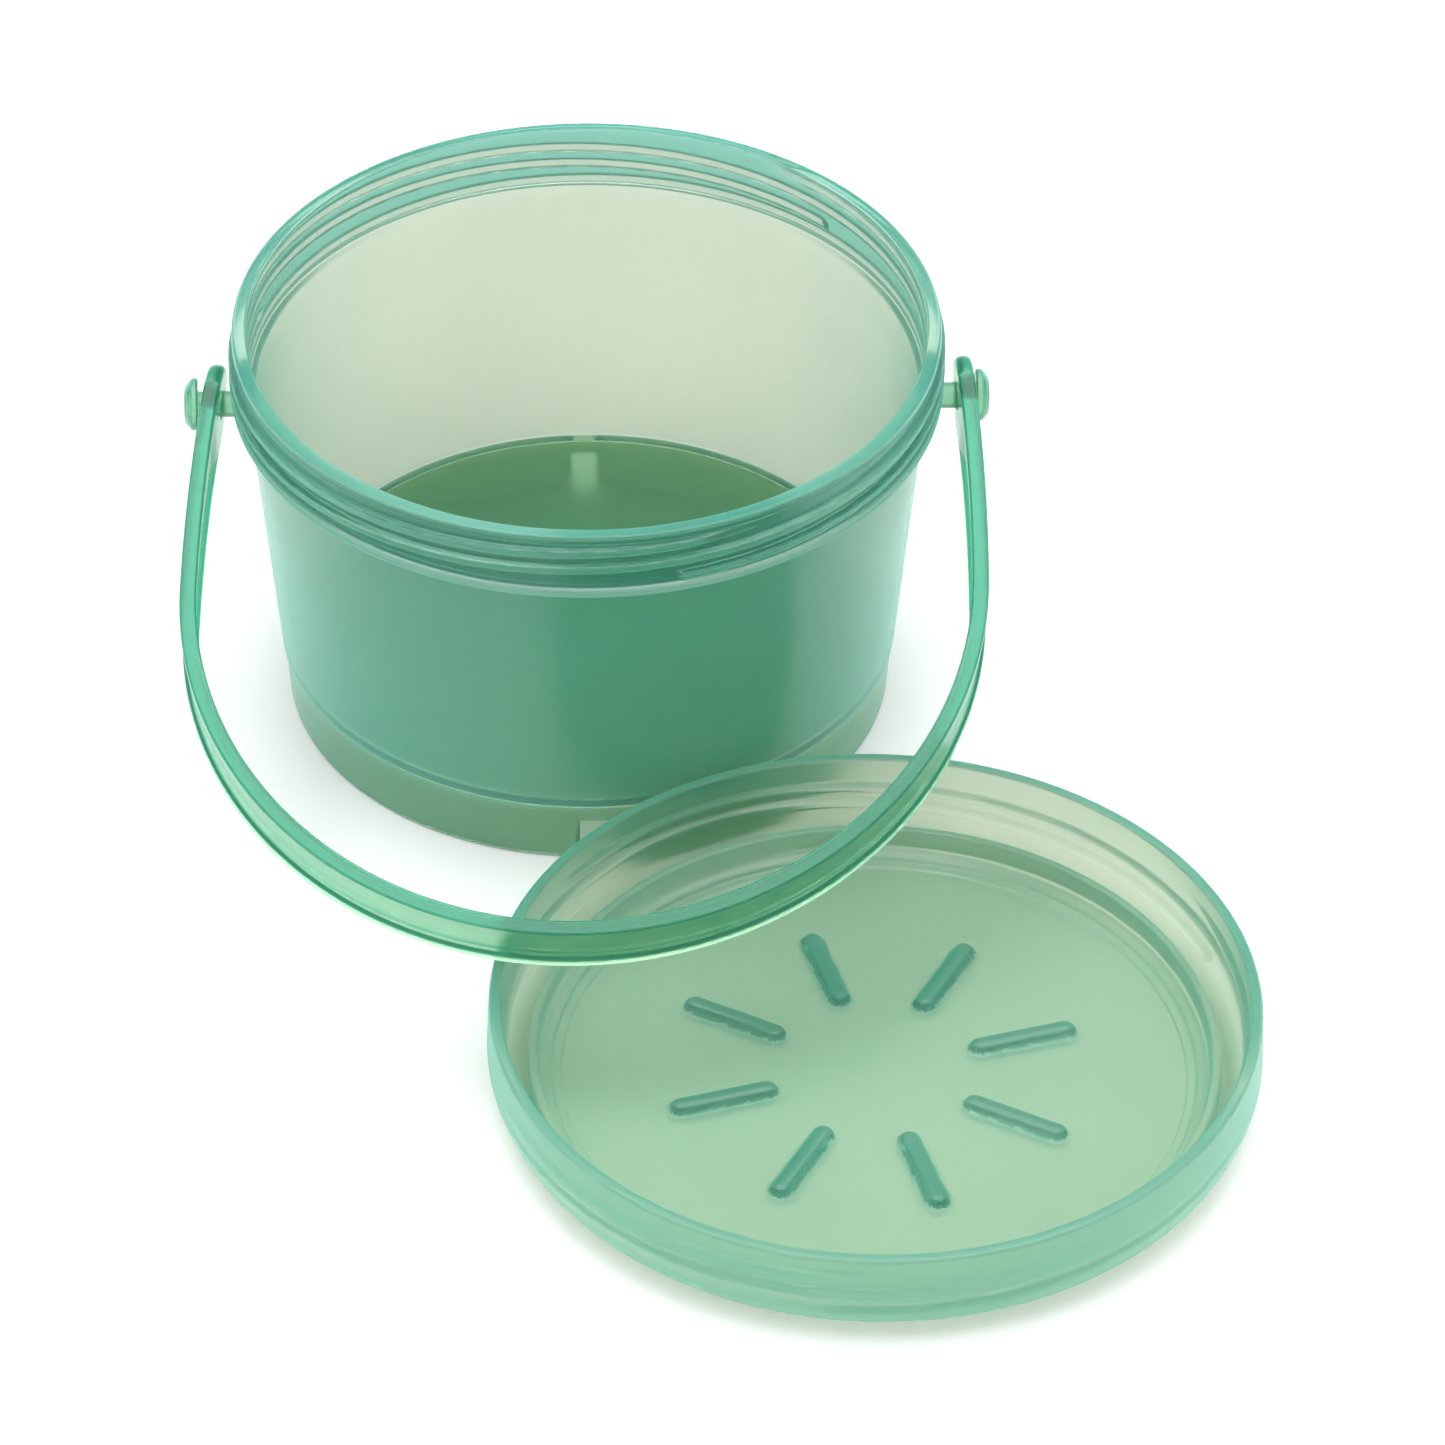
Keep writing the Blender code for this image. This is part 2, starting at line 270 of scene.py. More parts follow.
def thread_rise(angle, height, first_angle, first_height, lead, turn):
    """How much of a ridge, from 0 to 1, stands at an angle and height of a thread."""
    best = 0.0
    for start in range(THREAD_STARTS):
        run = (angle - first_angle - 360.0 / THREAD_STARTS * start) % 360.0
        if run > turn:
            continue
        away = abs(height - first_height - lead * run / 360.0)
        shape = 1.0 - eased((away - RIDGE_HALF) / RIDGE_FLANK)
        ends = min(1.0, eased(run / RUN_IN), eased((turn - run) / RUN_OUT))
        best = max(best, shape * ends)
    return best


def move_out(vertex, amount):
    """Moves a vertex away from the Z axis by this many millimetres."""
    radial = Vector((vertex.co.x, vertex.co.y, 0.0)).normalized()
    vertex.co += radial * amount * MM


def polar(vertex):
    """(radius, angle, height) of a vertex in millimetres and degrees."""
    co = vertex.co
    return math.hypot(co.x, co.y) / MM, math.degrees(math.atan2(co.y, co.x)), co.z / MM


def piece(name, shape, place, skins, body, node):
    """Makes a finished piece from a bmesh whose faces know their skins, and ties it on."""
    bmesh.ops.translate(shape, verts=shape.verts, vec=place)
    mesh = bpy.data.meshes.new(name)
    shape.to_mesh(mesh)
    shape.free()
    for skin in skins:
        mesh.materials.append(skin)
    mesh.shade_smooth()
    obj = bpy.data.objects.new(name, mesh)
    bpy.context.scene.collection.objects.link(obj)
    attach(obj, body)
    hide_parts(node)
    return obj


def joined(shapes):
    """One bmesh that holds several."""
    whole = bmesh.new()
    for shape in shapes:
        spare = bpy.data.meshes.new("spare")
        shape.to_mesh(spare)
        shape.free()
        whole.from_mesh(spare)
        bpy.data.meshes.remove(spare)
    return whole


def cut(shape, tool, operation):
    """Boolean of two closed bmeshes."""
    objects = []
    for name, source in (("work", shape), ("tool", tool)):
        mesh = bpy.data.meshes.new(name)
        source.to_mesh(mesh)
        source.free()
        obj = bpy.data.objects.new(name, mesh)
        bpy.context.scene.collection.objects.link(obj)
        objects.append(obj)
    work, other = objects
    modifier = work.modifiers.new("Cut", "BOOLEAN")
    modifier.object = other
    modifier.operation = operation
    modifier.solver = "EXACT"
    graph = bpy.context.evaluated_depsgraph_get()
    result = bmesh.new()
    result.from_object(work, graph)
    for obj in objects:
        mesh = obj.data
        bpy.data.objects.remove(obj)
        bpy.data.meshes.remove(mesh)
    if not result.faces:
        raise RuntimeError("a Boolean left nothing")
    return result


# ------------------------------------------------------------------ materials

CLOUD_SCALE = 26.0
SCUFF_SCALE = 140.0
RIPPLE_SCALE = 70.0
CLOUD_SHARE = 0.94  # how dark the cloudy patches are
SHADE_AND_THICKNESS_SHARE = (0.22, 0.62, 0.66)  # how dark each colour gets under the darkening attribute: painted shade in the jar's thread grooves, thicker plastic in the lid's ribs
ROUGHNESS_SPREAD = 0.08
RIPPLE = 0.025
PLASTIC_IOR = 1.49


def socket(group, name, kind, side, default=None):
    """Adds a socket to a node group."""
    made = group.interface.new_socket(name=name, in_out=side, socket_type=kind)
    if default is not None:
        made.default_value = default
    return made


def noise(nodes, links, place, scale, detail):
    """A noise pattern fixed to the object."""
    made = nodes.new("ShaderNodeTexNoise")
    made.inputs["Scale"].default_value = scale
    made.inputs["Detail"].default_value = detail
    links.new(place.outputs["Object"], made.inputs["Vector"])
    return made


def mixed(nodes, links, factor, first, second):
    """Blends two colours by a factor."""
    made = nodes.new("ShaderNodeMix")
    made.data_type = "RGBA"
    links.new(factor, made.inputs["Factor"])
    links.new(first, made.inputs["A"])
    links.new(second, made.inputs["B"])
    return made.outputs["Result"]


def moulding_group():
    """Cloudy colour, uneven polish and a faint ripple, as moulded plastic has."""
    found = bpy.data.node_groups.get("Moulded Skin")
    if found:
        return found
    group = bpy.data.node_groups.new("Moulded Skin", "ShaderNodeTree")
    socket(group, "Colour", "NodeSocketColor", "INPUT", (0.5, 0.8, 0.65, 1.0))
    socket(group, "Cloud Colour", "NodeSocketColor", "INPUT", (0.4, 0.75, 0.6, 1.0))
    socket(group, "Shade And Thickness Colour", "NodeSocketColor", "INPUT", (0.3, 0.6, 0.5, 1.0))
    socket(group, "Roughness", "NodeSocketFloat", "INPUT", 0.2)
    socket(group, "Roughness Spread", "NodeSocketFloat", "INPUT", 0.06)
    socket(group, "Ripple", "NodeSocketFloat", "INPUT", 0.1)
    socket(group, "Colour", "NodeSocketColor", "OUTPUT")
    socket(group, "Roughness", "NodeSocketFloat", "OUTPUT")
    socket(group, "Normal", "NodeSocketVector", "OUTPUT")
    nodes, links = group.nodes, group.links
    source = nodes.new("NodeGroupInput")
    result = nodes.new("NodeGroupOutput")
    place = nodes.new("ShaderNodeTexCoord")

    cloud = noise(nodes, links, place, CLOUD_SCALE, 4.0)
    cloud.inputs["Roughness"].default_value = 0.55
    soften = nodes.new("ShaderNodeMapRange")
    soften.inputs["From Min"].default_value = 0.32
    soften.inputs["From Max"].default_value = 0.72
    links.new(cloud.outputs["Fac"], soften.inputs["Value"])
    plain, cloudy = source.outputs["Colour"], source.outputs["Cloud Colour"]
    clouded = mixed(nodes, links, soften.outputs["Result"], plain, cloudy)
    # Painted shade: a vertex attribute darkens the colour between the jar's thread ridges; on the
    # lid the same attribute darkens the thicker ribs.
    shade_and_thickness = nodes.new("ShaderNodeAttribute")
    shade_and_thickness.attribute_name = "shade_and_thickness"
    deep = source.outputs["Shade And Thickness Colour"]
    links.new(mixed(nodes, links, shade_and_thickness.outputs["Fac"], clouded, deep), result.inputs["Colour"])

    scuff = noise(nodes, links, place, SCUFF_SCALE, 5.0)
    centred = nodes.new("ShaderNodeMath")
    centred.operation = "SUBTRACT"
    centred.inputs[1].default_value = 0.5
    links.new(scuff.outputs["Fac"], centred.inputs[0])
    spread = nodes.new("ShaderNodeMath")
    spread.operation = "MULTIPLY_ADD"
    links.new(centred.outputs["Value"], spread.inputs[0])
    links.new(source.outputs["Roughness Spread"], spread.inputs[1])
    links.new(source.outputs["Roughness"], spread.inputs[2])
    links.new(spread.outputs["Value"], result.inputs["Roughness"])

    ripple = noise(nodes, links, place, RIPPLE_SCALE, 3.0)
    bump = nodes.new("ShaderNodeBump")
    bump.inputs["Distance"].default_value = 1.0 * MM
    links.new(source.outputs["Ripple"], bump.inputs["Strength"])
    links.new(ripple.outputs["Fac"], bump.inputs["Height"])
    links.new(bump.outputs["Normal"], result.inputs["Normal"])
    return group


def plastic(name, tint, veil, veil_weight, haze):
    """Translucent plastic: light passes with a tint, and a milky veil scatters some back."""
    material = bpy.data.materials.new(name)
    material.use_nodes = True
    nodes, links = material.node_tree.nodes, material.node_tree.links
    shader = nodes["Principled BSDF"]
    skin = nodes.new("ShaderNodeGroup")
    skin.node_tree = moulding_group()
    skin.inputs["Colour"].default_value = (*tint, 1.0)
    skin.inputs["Cloud Colour"].default_value = (*(Vector(tint) * CLOUD_SHARE), 1.0)
    deep = [value * part for value, part in zip(tint, SHADE_AND_THICKNESS_SHARE)]
    skin.inputs["Shade And Thickness Colour"].default_value = (*deep, 1.0)
    skin.inputs["Roughness"].default_value = haze
    skin.inputs["Roughness Spread"].default_value = ROUGHNESS_SPREAD
    skin.inputs["Ripple"].default_value = RIPPLE
    links.new(skin.outputs["Colour"], shader.inputs["Base Color"])
    links.new(skin.outputs["Roughness"], shader.inputs["Roughness"])
    links.new(skin.outputs["Normal"], shader.inputs["Normal"])
    shader.inputs["IOR"].default_value = PLASTIC_IOR
    shader.inputs["Metallic"].default_value = 0.0
    shader.inputs["Transmission Weight"].default_value = 1.0
    shader.inputs["Sheen Weight"].default_value = veil_weight
    shader.inputs["Sheen Roughness"].default_value = 1.0
    shader.inputs["Sheen Tint"].default_value = (*veil, 1.0)
    return material


def skins_of(name, settings, extra=(), outside_tint=None):
    """Outer and inner skin of one moulding, then a skin for each (name, tint, veil weight, haze)."""
    skins = [
        ("Outside", outside_tint or settings.tint, settings.veil_outside, settings.haze),
        ("Inside", settings.tint, settings.veil_inside, settings.haze),
        *extra,
    ]
    return [
        plastic(f"{name} {part}", tint, settings.veil, weight, haze)
        for part, tint, weight, haze in skins
    ]


# ------------------------------------------------------------------ the jar

# Two of these skins carry painted shade: the one between the thread's ridges and the one on the
# floor.
OUTSIDE, INSIDE, SHADED_FLOOR, PINS, GROOVE_SHADE, FOOT = range(6)
SKIRT_TOP = 10.0  # also the underside of the floor, in mm above the table
FLOOR_TOP = 11.5
SKIRT_RADIUS = 48.95
SKIRT_INSIDE = 46.9
WALL_FOOT = 49.3
WALL_TOP = 53.55
COLLAR_FOOT = 57.3
COLLAR_BASE = 58.5
THREAD_BAND = (58.9, 67.4)
THREAD_FIRST_ANGLE = -76.5
THREAD_FIRST_HEIGHT = 59.95
THREAD_TURN = 256.0
THREAD_FINENESS = 0.17
RIDGE_CLEARING = 0.62  # how much of the painted groove shade a ridge loses
RIM_DEPTH = 0.45  # how much of it the rim and the collar's foot have
NOTCH_HALF = 2.15
NOTCH_TOP = 7.4
NOTCH_REACH = 9.0
NOTCH_SIDES = (-90.0, 90.0)
PIN_STEPS = 64


def jar_line(jar):
    """Half section of the jar body, from under its floor round to the top of its floor."""
    top = jar.height
    rim = jar.rim_radius
    wall = jar.wall
    corners = [
        (0.0, SKIRT_TOP, 0),
        (SKIRT_INSIDE, SKIRT_TOP, 0.6),
        (SKIRT_INSIDE - 0.15, 0.0, 0.45),
        (SKIRT_RADIUS - 0.71, 0.0, 0.55),
        (SKIRT_RADIUS, SKIRT_TOP - 0.2, 0.1),
        (WALL_FOOT, SKIRT_TOP, 0.25),
        (WALL_TOP, COLLAR_FOOT, 0.3),
        (rim + 0.45, COLLAR_FOOT, 0.45),
        (rim + 0.45, 58.7, 0.4),
        (rim - 0.3, 59.1, 0.3),
        (rim - 0.35, top - 1.7, 0.2),
        (rim, top - 1.4, 0.3),
        (rim, top, 0.6),
        (rim - 2.35, top, 0.5),
        (rim - 2.5, 58.4, 0.5),
        (WALL_TOP - wall, COLLAR_FOOT - 0.2, 0.5),
        (WALL_FOOT - wall, FLOOR_TOP + 1.4, 0.5),
        (SKIRT_RADIUS - wall, FLOOR_TOP, 1.5),
        (0.0, FLOOR_TOP, 0),
    ]
    return rounded(corners)


def cut_notches(shape):
    """Raises the skirt's lower edge over a narrow gap at the front and at the back."""
    for vertex in shape.verts:
        radius, angle, height = polar(vertex)
        if height > NOTCH_REACH or radius < SKIRT_INSIDE - 0.9:
            continue
        for side in NOTCH_SIDES:
            across = math.radians(angle - side) * radius
            if abs(across) > NOTCH_HALF * 1.55:
                continue
            inside = abs(across) < NOTCH_HALF * 1.1
            edge = NOTCH_HALF - 0.05 if inside else NOTCH_HALF + 0.05
            if abs(across) > NOTCH_HALF * 0.75:
                new = math.radians(side) + math.copysign(edge, across) / radius
                vertex.co.x = radius * math.cos(new) * MM
                vertex.co.y = radius * math.sin(new) * MM
            if inside:
                vertex.co.z = (NOTCH_TOP + height * (NOTCH_REACH - NOTCH_TOP) / NOTCH_REACH) * MM


def pin_shape(side):
    """One headed pin as a closed turned bar, on the jar's right (1) or left (-1)."""
    corners = [
        (0.0, 52.9, 0),
        (2.05, 52.9, 0.0),
        (2.05, 61.15, 0.15),
        (4.15, 61.15, 0.35),
        (4.15, 62.1, 0.7),
        (2.9, 63.25, 0.6),
        (0.0, 63.3, 0),
    ]
    shape = turned(divided(rounded(corners), 1.5), PIN_STEPS)
    bmesh.ops.rotate(
        shape, verts=shape.verts, cent=(0, 0, 0), matrix=Matrix.Rotation(math.pi / 2, 3, "Y")
    )
    if side < 0:
        bmesh.ops.rotate(
            shape, verts=shape.verts, cent=(0, 0, 0), matrix=Matrix.Rotation(math.pi, 3, "Z")
        )
    bmesh.ops.translate(shape, verts=shape.verts, vec=(0.0, 0.0, PIVOT.z))
    return shape


def faces_in(face):
    """INSIDE for a face that looks at the axis, or up from low down, and else OUTSIDE."""
    centre = face.calc_center_median()
    radial = Vector((centre.x, centre.y, 0.0)).normalized()
    low = centre.z < 20.0 * MM and centre.xy.length < 53.5 * MM
    return INSIDE if face.normal.dot(radial) < -0.3 or low and face.normal.z > 0.5 else OUTSIDE


def jar_skin(face):
    """Skin of a face of the jar: FOOT on the skirt, and the floor's painted-shade skin on both sides
    of the floor.
    """
    centre = face.calc_center_median()
    if centre.z < (SKIRT_TOP - 0.2) * MM:
        return FOOT
    in_floor = (SKIRT_TOP - 0.5) * MM < centre.z < (FLOOR_TOP + 1.0) * MM
    level = abs(face.normal.z) > 0.5 and centre.xy.length < (SKIRT_INSIDE - 0.1) * MM
    return SHADED_FLOOR if in_floor and level else faces_in(face)


def paint_deep(shape, shade_and_thickness, least, skin):
    """Gives a skin to the faces whose darkening value (painted groove shade on the jar, rib
    thickness on the lid) is over this on average.
    """
    for face in shape.faces:
        if sum(vertex[shade_and_thickness] for vertex in face.verts) > least * len(face.verts):
            face.material_index = skin


def paint(shape, skin_of):
    """Gives each face the skin that a rule names."""
    for face in shape.faces:
        face.material_index = skin_of(face)


class JAR_OT_body(bpy.types.Operator):
    """Builds the jar body with its threaded collar, pins, floor and foot skirt"""

    bl_idname = "jar.body"
    bl_label = "Jar Body"

    def execute(self, context):
        jar = context.scene.jar_settings
        outside = jar.rim_radius - 1.0
        low, high = THREAD_BAND
        line = jar_line(jar)
        line = stretch(line, COLLAR_BASE, high + 0.1, lambda r: r > outside, THREAD_FINENESS)
        shape = turned(line, jar.steps)
        # Painted shade: grooves between the thread's ridges get the darker colour, ridges lose most
        # of it, and the rim and the collar's foot get a lighter share.
        shade_and_thickness = shape.verts.layers.float.new("shade_and_thickness")
        for vertex in shape.verts:
            radius, angle, height = polar(vertex)
            if radius > outside and low < height < high:
                first, lead = (THREAD_FIRST_ANGLE, THREAD_FIRST_HEIGHT), jar.thread_lead
                rise = thread_rise(angle, height, *first, lead, THREAD_TURN)
                move_out(vertex, rise * jar.thread_rise)
                vertex[shade_and_thickness] = 1.0 - RIDGE_CLEARING * rise
            elif radius > outside:
                vertex[shade_and_thickness] = RIM_DEPTH
        cut_notches(shape)
        paint(shape, jar_skin)
        # Painted shade: faces deep in the grooves take the darker, less veiled groove skin.
        paint_deep(shape, shade_and_thickness, 0.5, GROOVE_SHADE)
        pins = [pin_shape(1), pin_shape(-1)]
        for pin in pins:
            paint(pin, lambda face: PINS)
        whole = joined([shape, *pins])
        extra = (
            # Painted shade: the floor's darker tint and weak veil stand for the shadowed hollow
            # under it.
            ("Floor", jar.floor_shade_tint, 0.18, jar.haze),
            ("Pins", jar.pin_tint, 0.36, jar.haze),
            # Painted shade: the grooves' darker tint and weaker veil.
            ("Groove Shade", jar.groove_shade_tint, 0.28, jar.haze),
            ("Foot", jar.foot_tint, 0.34, jar.haze),
        )
        skins = skins_of("Jar", jar, extra)
        piece("jar", whole, JAR_CENTRE, skins, "jar", "jar_body")
        return {"FINISHED"}


# ------------------------------------------------------------------ the handle

HOOP_HALF_WIDTH = 62.28
HOOP_SHOULDER = 38.28
HOOP_BOW = 61.96
HOOP_LEG = 154.3
HOOP_TILT = 19.14
BAND = 2.6
WIDTH_AT_PINS = 12.6
WIDTH_AT_BOW = 9.65
BEAD = 1.65  # flat width of the bead along each edge
BEAD_FOOT = 2.0
WEB_START = 6.5  # distance from the pins at which the web begins to thin
WEB_EASE = 4.0
EYE_RADIUS = 6.35
EYE_ROUNDING = 1.15
EYE_OVERLAP = 0.02  # the eye stands this far past the band, so that the two join cleanly
EYE_STEPS = 96
EYE_HOLE = 2.45
HOLE_DEPTH = 12.0
HOLE_STEPS = 72
CREASE_ANGLE = 50.0


def hoop_point(turn):
    """Outer line of the hoop in its own plane: (across, away from the pins)."""
    length = HOOP_BOW if math.sin(turn) >= 0 else HOOP_LEG
    return Vector((HOOP_HALF_WIDTH * math.cos(turn), HOOP_SHOULDER + length * math.sin(turn)))


def hoop_inward(turn):
    """Unit direction from the hoop's outer line toward its inside."""
    tangent = (hoop_point(turn + 0.001) - hoop_point(turn - 0.001)).normalized()
    return Vector((-tangent.y, tangent.x))


def band_outline(half, deep, recess):
    """Closed section of the band: a round bead on each edge and a thinner web between."""
    corners = [
        (-half, 0.0, 0.5),
        (-half + BEAD, 0.0, 0.35),
        (-half + BEAD_FOOT, recess, 0.25),
        (half - BEAD_FOOT, recess, 0.25),
        (half - BEAD, 0.0, 0.35),
        (half, 0.0, 0.5),
        (half, deep, 0.5),
        (half - BEAD, deep, 0.35),
        (half - BEAD_FOOT, deep - recess, 0.25),
        (-half + BEAD_FOOT, deep - recess, 0.25),
        (-half + BEAD, deep, 0.35),
        (-half, deep, 0.5),
    ]
    ring = [corners[-1], *corners, corners[0]]
    line = rounded(ring)[1:-1]
    return line + [line[0]]


def hoop_sections(handle):
    """Each section of the hoop's band, as points in the hoop's plane with +Y back to the pins."""
    lift = math.asin(HOOP_SHOULDER / HOOP_LEG)
    sections = []
    for station in range(handle.stations + 1):
        turn = -lift + (math.pi + 2 * lift) * station / handle.stations
        point, inward = hoop_point(turn), hoop_inward(turn)
        bow = max(0.0, math.sin(turn))
        half = (WIDTH_AT_PINS + (WIDTH_AT_BOW - WIDTH_AT_PINS) * bow) / 2
        recess = max(0.01, handle.recess * eased((point.y - WEB_START) / WEB_EASE))
        section = []
        for width, depth in band_outline(half, BAND, recess):
            flat = point + inward * depth
            section.append(Vector((flat.x, -flat.y, width)) * MM)
        sections.append(section)
    return sections


def hoop_shape(handle):
    """The swept band of the hoop, closed at both ends: a grid laid along its sections."""
    sections = hoop_sections(handle)
    last = len(sections[0]) - 1
    shape = bmesh.new()
    bmesh.ops.create_grid(shape, x_segments=handle.stations, y_segments=last, size=1.0)
    for vertex in shape.verts:
        station = round((vertex.co.x + 1) / 2 * handle.stations)
        index = round((vertex.co.y + 1) / 2 * last)
        vertex.co = sections[station][index]
    bmesh.ops.remove_doubles(shape, verts=shape.verts, dist=MERGE)
    bmesh.ops.holes_fill(shape, edges=[e for e in shape.edges if e.is_boundary], sides=0)
    bmesh.ops.recalc_face_normals(shape, faces=shape.faces)
    return shape


def eye_tools():
    """The two round eyes and the two holes through them."""
    lift = math.asin(HOOP_SHOULDER / HOOP_LEG)
    eyes, holes = [], []
    for turn in (-lift, math.pi + lift):
        point, inward = hoop_point(turn), hoop_inward(turn)
        middle = point + inward * (BAND / 2)
        half = BAND / 2 + EYE_OVERLAP
        disc = turned(
            divided(
                rounded(
                    [
                        (0.0, -half, 0),
                        (EYE_RADIUS, -half, EYE_ROUNDING),
                        (EYE_RADIUS, half, EYE_ROUNDING),
                        (0.0, half, 0),
                    ]
                ),
                2.0,
            ),
            EYE_STEPS,
        )
        normal = Vector((inward.x, -inward.y, 0.0))
        turned_to = normal.to_track_quat("Z", "X").to_matrix().to_4x4()
        moved = Matrix.Translation(Vector((middle.x, -middle.y, 0.0)) * MM)
        bmesh.ops.transform(disc, verts=disc.verts, matrix=moved @ turned_to)
        eyes.append(disc)
        hole = bmesh.new()
        bmesh.ops.create_cone(
            hole,
            cap_ends=True,
            segments=HOLE_STEPS,
            radius1=EYE_HOLE * MM,
            radius2=EYE_HOLE * MM,
            depth=HOLE_DEPTH * MM,
            matrix=Matrix.Translation((point.x * MM, 0.0, 0.0))
            @ Matrix.Rotation(math.pi / 2, 4, "Y"),
        )
        holes.append(hole)
    return joined(eyes), joined(holes)


class JAR_OT_handle(bpy.types.Operator):
    """Builds the bail handle, swung down to where it rests"""

    bl_idname = "jar.handle"
    bl_label = "Bail Handle"

    def execute(self, context):
        handle = context.scene.handle_settings
        eyes, holes = eye_tools()
        shape = cut(hoop_shape(handle), eyes, "UNION")
        shape = cut(shape, holes, "DIFFERENCE")
        for vertex in shape.verts:
            away = -vertex.co.y
            vertex.co.x += handle.lean * away + handle.play * MM
        tilt = Matrix.Rotation(math.radians(HOOP_TILT), 3, "X")
        bmesh.ops.rotate(shape, verts=shape.verts, cent=(0, 0, 0), matrix=tilt)
        out = tilt @ Vector((0.0, 0.0, 1.0))
        paint(shape, lambda face: INSIDE if abs(face.normal.dot(out)) < 0.5 else OUTSIDE)
        skins = skins_of("Handle", handle, outside_tint=handle.edge_tint)
        obj = piece("handle", shape, PIVOT, skins, "handle", "bail_handle")
        obj.data.set_sharp_from_angle(angle=math.radians(CREASE_ANGLE))
        return {"FINISHED"}


# ------------------------------------------------------------------ the lid

RIBS = 2  # the ribs' skin, after OUTSIDE and INSIDE
LID_FLAT = 50.4  # radius at which the outer face starts to bend up
LID_BEND = 8.0
BEND_STEPS = 24
PANEL = 1.4
SKIRT_WALL = (55.5, 56.6)  # radii between which the lid's thread stands
LID_THREAD_BAND = (4.6, 15.5)
LID_THREAD_ANGLE = 20.0
LID_THREAD_HEIGHT = 5.8
LID_THREAD_LEAD = 9.0
LID_THREAD_TURN = 250.0
LID_THREAD_RISE = 0.9
LID_THREAD_FINENESS = 0.34
RIB_START = 15.2
RIB_END = 32.3
RIB_HALF = 1.75
RIB_TURN = 15.5
RIB_BAND = (13.5, 34.0)
RIB_FINENESS = 0.32
GATE_RADIUS = 0.5
GATE_RISE = 0.4


def lid_line(lid):
    """Half section of the lid as it lies, from its outer face up and back to its panel."""
    top = lid.height
    corners = [(0.0, 0.0, 0)]
    for k in range(BEND_STEPS + 1):
        bend = math.pi / 2 * k / BEND_STEPS
        out, up = LID_BEND * math.sin(bend), LID_BEND * (1 - math.cos(bend))
        corners.append((LID_FLAT + out, up, 0))
    corners += [
        (58.05, top, 0.7),
        (56.2, top, 0.4),
        (56.35, 8.2, 0.8),
        (55.4, 3.6, 1.6),
        (53.4, 1.9, 0.9),
        (52.3, 2.2, 0.5),
        (52.2, 6.3, 0.5),
        (50.9, 6.3, 0.45),
        (50.2, 2.9, 0.7),
        (48.9, 2.4, 0.25),
        (48.6, 1.8, 0.25),
        (47.4, 1.7, 0.12),
        (47.2, PANEL, 0.15),
        (0.0, PANEL, 0),
    ]
    return rounded(corners)


def rib_height(x, y, count):
    """How much of a rib, from 0 to 1, stands at a point of the panel."""
    if not count:
        return 0.0
    radius = math.hypot(x, y)
    step = 360.0 / count
    angle = (math.degrees(math.atan2(y, x)) - RIB_TURN + step / 2) % step - step / 2
    along = radius * math.cos(math.radians(angle))
    across = radius * math.sin(math.radians(angle))
    past = max(0.0, RIB_START + RIB_HALF - along, along - (RIB_END - RIB_HALF))
    away = math.hypot(across, past) / RIB_HALF
    return max(0.0, 1.0 - away**2.6) ** 0.6


def fine_panel(line):
    """Divides the panel's top finely where the ribs stand, and drops points that coincide."""
    low, high = RIB_BAND
    fine = []
    for a, b in zip(line, line[1:]):
        if a.y == b.y and abs(a.y - PANEL) < 0.01:
            span = divided([a, b], RIB_FINENESS)
            fine += [p for p in span if low < p.x < high or p in (span[0], span[-1])]
        else:
            fine.append(a)
    fine.append(line[-1])
    kept = [fine[0]]
    for point in fine[1:]:
        if (point - kept[-1]).length > 1e-4:
            kept.append(point)
    return kept


class JAR_OT_lid(bpy.types.Operator):
    """Builds the screw lid, lying open side up"""

    bl_idname = "jar.lid"
    bl_label = "Screw Lid"

    def execute(self, context):
        lid = context.scene.lid_settings
        (near, far), (low, high) = SKIRT_WALL, LID_THREAD_BAND
        line = lid_line(lid)
        fine = LID_THREAD_FINENESS
        line = stretch(line, low - 0.1, high + 0.1, lambda r: near < r + 0.1 < far, fine)
        shape = turned(fine_panel(line), lid.steps)
        shade_and_thickness = shape.verts.layers.float.new("shade_and_thickness")
        for vertex in shape.verts:
            radius, angle, height = polar(vertex)
            if near < radius < far and low < height < high:
                first, lead = (LID_THREAD_ANGLE, LID_THREAD_HEIGHT), LID_THREAD_LEAD
                rise = thread_rise(angle, height, *first, lead, LID_THREAD_TURN)
                move_out(vertex, -rise * LID_THREAD_RISE)
            elif radius < RIB_BAND[1] and height > 1.0:
                rise = rib_height(vertex.co.x / MM, vertex.co.y / MM, lid.ribs)
                gate = GATE_RISE * (1.0 - eased((radius - GATE_RADIUS) / 0.6))
                vertex.co.z += (lid.rib_rise * rise + gate) * MM
                vertex[shade_and_thickness] = min(1.0, 2.0 * rise) * 0.9
        paint(shape, faces_in)
        paint_deep(shape, shade_and_thickness, 0.3, RIBS)
        skins = skins_of("Lid", lid, (("Ribs", lid.rib_tint, 0.24, 0.2),))
        piece("lid", shape, LID_CENTRE, skins, "lid", "screw_lid")
        return {"FINISHED"}


# ------------------------------------------------------------------ the studio

STAGE_HALF = 3.0
STAGE_GAP = 0.0002  # the stage lies this far under the parts
STAGE_GLOW = 0.09
STAGE_MIDDLE = (0.0, 0.0, 0.03)
OVERHEAD_PLACE = (0.0, 0.1, 1.3)
OVERHEAD_SIZE = (1.6, 1.6)
CAMERA_FROM_JAR = (-11.19, -915.58, 727.34)  # mm
CAMERA_YAW = 2.06
CAMERA_PITCH = 38.91
CAMERA_ROLL = 0.52
CAMERA_LENS = 179.8
CAMERA_SENSOR = 36.0


